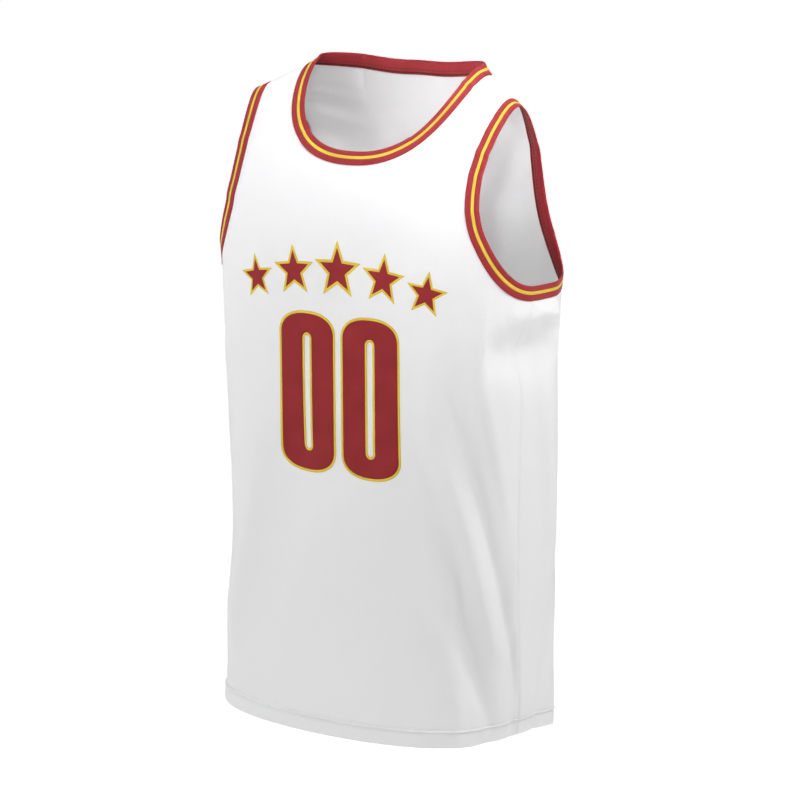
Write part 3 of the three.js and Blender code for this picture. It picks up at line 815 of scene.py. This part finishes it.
def cloth_finish(name, low, high, roughness, sheen, wales, bump, depth, thinness=0):
    """A knit: fine wales and courses as bump, with a soft drift of tone over the cloth."""
    material, tree, shader = node_material(name)
    shader.inputs["Roughness"].default_value = roughness
    shader.inputs["Sheen Weight"].default_value = sheen
    shader.inputs["Sheen Roughness"].default_value = 0.5
    shader.inputs["Specular IOR Level"].default_value = 0.15
    vector = cloth_coordinates(tree)
    mixed_colour(tree, shader, noise(tree, vector, 34, 4), low, high)
    along = wave(tree, vector, wales, "X")
    across = wave(tree, vector, wales * 1.3, "Y")
    knit = maths(tree, "MULTIPLY", along, across)
    fuzz = noise(tree, vector, 1400)
    bumped(tree, shader, maths(tree, "ADD", knit, maths(tree, "MULTIPLY", fuzz, 0.5)), bump, depth)
    if thinness:
        let_light_through(tree, shader, thinness)
    return material


def let_light_through(tree, shader, share):
    """Thin white knit: a share of the light passes through and comes out soft."""
    through = tree.nodes.new("ShaderNodeBsdfTranslucent")
    through.inputs["Color"].default_value = (0.9, 0.9, 0.9, 1)
    mixed = tree.nodes.new("ShaderNodeMixShader")
    mixed.inputs["Fac"].default_value = share
    tree.links.new(shader.outputs["BSDF"], mixed.inputs[1])
    tree.links.new(through.outputs["BSDF"], mixed.inputs[2])
    tree.links.new(mixed.outputs["Shader"], tree.nodes["Material Output"].inputs["Surface"])


def plain_finish(name, colour, roughness, sheen=0.0):
    material, _, shader = node_material(name)
    shader.inputs["Base Color"].default_value = (*colour, 1)
    shader.inputs["Roughness"].default_value = roughness
    shader.inputs["Sheen Weight"].default_value = sheen
    shader.inputs["Specular IOR Level"].default_value = 0.25
    return material


WHITE_KNIT = cloth_finish(
    "white_knit", (0.852, 0.852, 0.856), (0.864, 0.864, 0.868), 0.8, 0.12, 260, 0.25, 0.0002, 0.35
)
CRIMSON_KNIT = cloth_finish(
    "crimson_knit", (0.24, 0.017, 0.022), (0.28, 0.022, 0.027), 0.75, 0.06, 330, 0.35, 0.0002
)
GOLD_KNIT = cloth_finish(
    "gold_knit", (0.56, 0.375, 0.035), (0.64, 0.44, 0.055), 0.65, 0.05, 330, 0.35, 0.0002
)
# Near-black painted shade for the bands' grooves beside the gold stripe and beside the seam inside
PAINTED_SHADE_KNIT = plain_finish("painted_band_shade", (0.05, 0.012, 0.008), 0.9)
PRINT_CRIMSON = cloth_finish(
    "print_crimson", (0.215, 0.015, 0.018), (0.25, 0.019, 0.022), 0.7, 0.0, 330, 0.2, 0.00015
)
PRINT_GOLD = cloth_finish(
    "print_gold", (0.58, 0.415, 0.035), (0.65, 0.47, 0.05), 0.65, 0.0, 330, 0.2, 0.00015
)
WHITE_THREAD = plain_finish("white_thread", (0.88, 0.88, 0.88), 0.7, 0.2)
CRIMSON_THREAD = plain_finish("crimson_thread", (0.045, 0.004, 0.006), 0.7, 0.1)


# The two panels


def panel_object(name, panel):
    half, ups = half_panel_grid(panel)
    mirrored = half[:, :-1] * np.array([-1, 1])
    grid = np.concatenate([mirrored, half[:, ::-1]], axis=1)
    if panel is BACK:
        grid = grid[:, ::-1]
    present = ~np.isnan(grid[..., 0])
    turn = np.where(present, grid[..., 0], 0.0)
    rise = np.where(present, grid[..., 1], 0.0)
    along_turn, along_rise = cloth_steps(panel, turn, rise)
    turn_gap = SEAM_GAP / 2 / np.linalg.norm(along_turn, axis=-1)
    rise_gap = SEAM_GAP / 2 / np.linalg.norm(along_rise, axis=-1)
    turn = np.clip(turn, turn_gap - QUARTER, QUARTER - turn_gap)
    rise = np.minimum(rise, RISE_TO_SHOULDER - rise_gap)
    folded = 1 - smoothstep(ups, HEM_DEPTH + 0.8, HEM_DEPTH + 2)
    outside = CLOTH_OUTSIDE + (HEM_OUTSIDE - CLOTH_OUTSIDE) * folded
    roundness = np.sqrt(1 - (1 - np.clip(ups / HEM_EDGE_ROUND, 0, 1)) ** 2)
    middle = (CLOTH_INSIDE + HEM_OUTSIDE) / 2
    inner_out = middle + (CLOTH_INSIDE - middle) * roundness
    outer_out = middle + (outside - middle) * roundness
    inner = cloth_point(panel, turn, rise, np.broadcast_to(inner_out[:, None], turn.shape))
    outer = cloth_point(panel, turn, rise, np.broadcast_to(outer_out[:, None], turn.shape))
    flat_places = np.stack([turn * FLAT_RADIUS, rise], -1)
    return wall_object(name, inner, outer, present, flat_places, WHITE_KNIT)


front_cloth = panel_object("front_cloth", FRONT)
back_cloth = panel_object("back_cloth", BACK)
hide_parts("front_panel")
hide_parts("back_panel")


# Bands


def edge_stations(parts):
    """Points and outward normals along an opening's edge, from (panel, places, side) parts."""
    points, normals = [], []
    for panel, places, side in parts:
        turn, rise = places[:, 0] * side, places[:, 1]
        points.append(cloth_point(panel, turn, rise, np.zeros(len(turn))))
        normals.append(outward_normal(panel, turn, rise))
    return np.concatenate(points), np.concatenate(normals)


def across_directions(points, normals):
    ahead = np.roll(points, -1, axis=0)
    behind = np.roll(points, 1, axis=0)
    return unit(np.cross(unit(ahead - behind), normals))


def neck_stations():
    shares = np.linspace(0, 1, BAND_STEPS)
    front = places_along(FRONT, neckline_place, shares)
    back = places_along(BACK, neckline_place, shares)
    points, normals = edge_stations([
        (FRONT, front[:-1], -1),
        (BACK, back[::-1], -1),
        (BACK, back[1:-1], 1),
        (FRONT, front[:0:-1], 1),
    ])
    across = across_directions(points, normals)
    if (across * (points.mean(0) - points)).sum() < 0:
        across = -across
    backwards = np.clip(points[:, 1] / NECK_LEAN_DEPTH, -1, 1) / 2 + 0.5
    lean = np.radians(NECK_LEAN_FRONT + (NECK_LEAN_BACK - NECK_LEAN_FRONT) * backwards)[:, None]
    leaning = across * np.cos(lean) + normals * np.sin(lean)
    leaning_out = normals * np.cos(lean) - across * np.sin(lean)
    return points + across * SEAM_GAP, leaning, leaning_out


def armhole_stations(side):
    shares = np.linspace(0, 1, BAND_STEPS)
    front = places_along(FRONT, armhole_place, shares)
    back = places_along(BACK, armhole_place, shares)
    points, normals = edge_stations([
        (FRONT, front[:-1], side),
        (BACK, back[1:][::-1], side),
    ])
    across = across_directions(points, normals)
    if (across * (points.mean(0) - points)).sum() < 0:
        across = -across
    return points + across * SEAM_GAP, across, normals


def band_object(name, stations, node):
    points, across, outwards = stations
    tone_names = ["crimson", "gold", "shade"]
    tones = [tone_names.index(row[2]) for row in BAND_SECTION]
    made = extruded_object(
        name, points, across, outwards, BAND_SECTION, True,
        [CRIMSON_KNIT, GOLD_KNIT, PAINTED_SHADE_KNIT], tones,
    )
    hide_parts(node)
    inside = points + across * BAND_STITCHES_IN + outwards * BAND_STITCHES_OUT
    thread = stitched_row(
        name + "_stitches", inside, -outwards, BAND_THREAD, CRIMSON_THREAD, closed=True
    )
    return made, thread, run_length(points, True)[-1]


neck_ring = band_object("neck_band_knit", neck_stations(), "neck_band")
left_ring = band_object("armhole_band_left_knit", armhole_stations(1), "armhole_band_left")
right_ring = band_object("armhole_band_right_knit", armhole_stations(-1), "armhole_band_right")


# Seams and hem stitches


def side_seam(side):
    rise = np.linspace(hem_z(FRONT, QUARTER) - CHEST_Z + 0.4, UNDERARM_RISE - 0.4, 240)
    turn = np.full(len(rise), side * QUARTER)
    points = cloth_point(FRONT, turn, rise, np.zeros(len(rise)))
    folded = 1 - smoothstep(CHEST_Z + rise - hem_z(FRONT, QUARTER), HEM_DEPTH, HEM_DEPTH + 2)
    normals = outward_normal(FRONT, turn, rise)
    points = points + normals * (0.15 + folded * (HEM_OUTSIDE - CLOTH_OUTSIDE))[:, None]
    along = unit(np.gradient(points, axis=0))
    name = "side_seam_left" if side > 0 else "side_seam_right"
    return extruded_object(
        name, points, np.cross(along, normals), normals, SEAM_SECTION, False, [WHITE_KNIT]
    )


def shoulder_seam(side):
    x = np.linspace(NECK_HALF_WIDTH + 1, SHOULDER_HALF_WIDTH - 1, 40)
    turn = turn_at_half_width(FRONT, x) * side
    rise = np.full(len(x), RISE_TO_SHOULDER)
    points = cloth_point(FRONT, turn, rise, np.full(len(x), -0.35))
    normals = outward_normal(FRONT, turn, rise)
    along = unit(np.gradient(points, axis=0))
    name = "shoulder_seam_left" if side > 0 else "shoulder_seam_right"
    return extruded_object(
        name, points, np.cross(along, normals), normals, SEAM_SECTION, False, [WHITE_KNIT]
    )


def hem_row(name, panel, up):
    turn = np.linspace(-QUARTER, QUARTER, 900)
    rise = hem_z(panel, turn) + up - CHEST_Z
    folded = float(up < HEM_DEPTH)
    outside = CLOTH_OUTSIDE + (HEM_OUTSIDE - CLOTH_OUTSIDE) * folded
    line = cloth_point(panel, turn, rise, np.full(len(turn), outside - 0.05))
    normals = outward_normal(panel, turn, rise)
    return stitched_row(name, line, normals, HEM_THREAD, WHITE_THREAD)


front_sewing = [
    hem_row(f"front_hem_stitches_{k}", FRONT, up) for k, up in enumerate(HEM_STITCHES, 1)
]
back_sewing = [
    hem_row(f"back_hem_stitches_{k}", BACK, up) for k, up in enumerate(HEM_STITCHES, 1)
]
seams = [side_seam(1), side_seam(-1), shoulder_seam(1), shoulder_seam(-1)]


# The number and the stars


def front_places(x, z):
    """The (turn, rise) of places across and up the front."""
    turn = turn_at_width(FRONT, x / ring_size("half_width", np.minimum(z, CHEST_Z)))
    return turn, rise_at(FRONT, turn, z)


def print_object(name, outline, inline, steps, material, filled=False):
    """A thin printed shape between an outer and an inner contour of (x, z) points, that lies on
    the front cloth. filled closes the middle over."""
    share = np.linspace(0, 1, steps + 1)[:, None, None]
    flat = inline * (1 - share) + outline * share
    turn, rise = front_places(flat[..., 0], flat[..., 1])
    normals_out = np.full(turn.shape, CLOTH_OUTSIDE)
    top = cloth_point(FRONT, turn, rise, normals_out + PRINT_OUTSIDE)
    bottom = cloth_point(FRONT, turn, rise, normals_out - 0.2)
    rows, count = turn.shape
    k = np.arange(rows - 1)[:, None]
    c = np.arange(count)[None, :]
    beside = (c + 1) % count
    quad = np.stack([k * count + c, (k + 1) * count + c, (k + 1) * count + beside,
                     k * count + beside], -1).reshape(-1, 4)
    lower = rows * count
    c = np.arange(count)
    beside = (c + 1) % count
    edge = (rows - 1) * count
    rims = [np.stack([edge + c, lower + edge + c, lower + edge + beside, edge + beside], -1)]
    faces = [quad, quad[:, ::-1] + lower]
    if not filled:
        rims.append(np.stack([beside, lower + beside, lower + c, c], -1))
    faces = np.concatenate(faces + rims).tolist()
    if filled:
        faces += [list(range(count)), list(range(lower, lower + count))[::-1]]
    points = np.concatenate([top.reshape(-1, 3), bottom.reshape(-1, 3)])
    place = np.stack([turn * FLAT_RADIUS, rise], -1).reshape(-1, 2)
    place = np.concatenate([place, place])
    uvs = place[np.concatenate([np.array(face) for face in faces])]
    made = make_object(name, points, faces, [material], uvs=uvs)
    turn_outside_out(made)
    return made


def rounded_bar(half_width, height, corner, fullness):
    """A tall rounded contour about the middle, with the same number of points on each part."""
    side = height / 2 - corner
    arc = np.linspace(0, math.pi, 48, endpoint=False)
    straight = np.linspace(-side, side, 46, endpoint=False)
    right = np.stack([np.full(len(straight), half_width), straight], -1)
    swing = np.sign(np.cos(arc)) * np.abs(np.cos(arc)) ** fullness
    top = np.stack([half_width * swing, side + corner * np.sin(arc) ** fullness], -1)
    return np.concatenate([right, top, -right, -top])


def zero_prints(name, x):
    centre = np.array([x, NUMBER_Z])
    size, slot = ZERO["height"], ZERO["slot_height"]

    def outer(extra):
        width = ZERO["half_width"] + extra
        return centre + rounded_bar(width, size + 2 * extra, ZERO["corner"] + extra, 0.84)

    def inner(extra):
        width = ZERO["slot_half_width"] - extra
        return centre + rounded_bar(width, slot - 2 * extra, width * 1.1, 0.95)

    return [
        print_object(f"{name}_crimson", outer(0), inner(0), 11, PRINT_CRIMSON),
        print_object(f"{name}_gold_edge", outer(OUTLINE), outer(0.02), 2, PRINT_GOLD),
        print_object(f"{name}_gold_slot", inner(0.02), inner(OUTLINE), 2, PRINT_GOLD),
    ]


def star_contour(radius, turned):
    """A five-pointed star about the middle, its straight edges cut into short steps."""
    angles = np.radians(90 + turned + 36 * np.arange(11))
    reach = np.where(np.arange(11) % 2 == 0, radius, radius * STAR_WAIST)
    corners = np.stack([np.cos(angles) * reach, np.sin(angles) * reach], -1)
    share = np.linspace(0, 1, 10, endpoint=False)[None, :, None]
    return (corners[:-1, None] + (corners[1:] - corners[:-1])[:, None] * share).reshape(-1, 2)


def star_prints(name, x, z, radius, turned):
    centre = np.array([x, z])
    edge = centre + star_contour(radius, turned)
    crimson = centre + star_contour(radius * STAR_CRIMSON, turned)
    middle = centre + star_contour(radius * 0.03, turned)
    return [
        print_object(f"{name}_crimson", crimson, middle, 10, PRINT_CRIMSON, filled=True),
        print_object(f"{name}_gold_edge", edge, crimson, 3, PRINT_GOLD),
    ]


prints = zero_prints("number_zero_right", -NUMBER_X) + zero_prints("number_zero_left", NUMBER_X)
for order, star in enumerate(STARS, 1):
    prints += star_prints(f"star_{order}", *star)


# Room, lights and camera


def area_light(name, place, aim, size, power, spread):
    light = bpy.data.lights.new(name, "AREA")
    light.shape = "SQUARE"
    light.size = size
    light.energy = power
    light.spread = math.radians(spread)
    made = bpy.data.objects.new(name, light)
    bpy.context.scene.collection.objects.link(made)
    back = unit(np.array(place, float) - np.array(aim, float))
    right = unit(np.cross([0, 0, 1], back))
    up = np.cross(back, right)
    made.matrix_world = placed(right, up, back, place)
    return made


def placed(right, up, back, place):
    columns = np.column_stack([right, up, back, place])
    return Matrix([*columns.tolist(), [0, 0, 0, 1]])


floor_mesh = bpy.data.meshes.new("floor")
half_floor = FLOOR_SIZE / 2
floor_mesh.from_pydata(
    [(x, y, FLOOR_Z) for x, y in ((-half_floor, -half_floor), (half_floor, -half_floor),
                                  (half_floor, half_floor), (-half_floor, half_floor))],
    [],
    [[0, 1, 2, 3]],
)
floor_finish = plain_finish("pale_floor", (0.95, 0.95, 0.95), 0.9)
floor_shader = floor_finish.node_tree.nodes["Principled BSDF"]
floor_shader.inputs["Emission Color"].default_value = (1, 1, 1, 1)
floor_tree = floor_finish.node_tree
floor_place = floor_tree.nodes.new("ShaderNodeTexCoord")
floor_distance = floor_tree.nodes.new("ShaderNodeVectorMath")
floor_distance.operation = "LENGTH"
floor_tree.links.new(floor_place.outputs["Object"], floor_distance.inputs[0])
floor_glow = floor_tree.nodes.new("ShaderNodeMapRange")
floor_glow.interpolation_type = "SMOOTHSTEP"
floor_glow.inputs["From Min"].default_value = FLOOR_GLOW_FROM
floor_glow.inputs["From Max"].default_value = FLOOR_GLOW_TO
floor_glow.inputs["To Min"].default_value = 0
floor_glow.inputs["To Max"].default_value = FLOOR_GLOW
floor_tree.links.new(floor_distance.outputs["Value"], floor_glow.inputs["Value"])
floor_tree.links.new(floor_glow.outputs["Result"], floor_shader.inputs["Emission Strength"])
floor_mesh.materials.append(floor_finish)
floor = bpy.data.objects.new("floor", floor_mesh)
bpy.context.scene.collection.objects.link(floor)

world = bpy.data.worlds.new("studio")
world.use_nodes = True
world.node_tree.nodes["Background"].inputs["Color"].default_value = (1, 1, 1, 1)
world.node_tree.nodes["Background"].inputs["Strength"].default_value = WORLD_STRENGTH
bpy.context.scene.world = world
for light in LIGHTS:
    area_light(*light)

azimuth = math.radians(CAMERA_AZIMUTH)
elevation = math.radians(CAMERA_ELEVATION)
roll = math.radians(CAMERA_ROLL)
back = np.array([
    math.sin(azimuth) * math.cos(elevation),
    -math.cos(azimuth) * math.cos(elevation),
    math.sin(elevation),
])
level = np.array([math.cos(azimuth), math.sin(azimuth), 0])
upright = np.cross(back, level)
aim = level * CAMERA_AIM[0] + np.array([0, 0, CAMERA_AIM[1]])
camera_data = bpy.data.cameras.new("camera")
camera_data.lens = CAMERA_LENS
camera_data.sensor_width = 36
camera = bpy.data.objects.new("camera", camera_data)
bpy.context.scene.collection.objects.link(camera)
camera.matrix_world = placed(
    level * math.cos(roll) + upright * math.sin(roll),
    upright * math.cos(roll) - level * math.sin(roll),
    back,
    aim + back * CAMERA_DISTANCE,
)
bpy.context.scene.camera = camera
bpy.context.scene.view_settings.view_transform = "Standard"
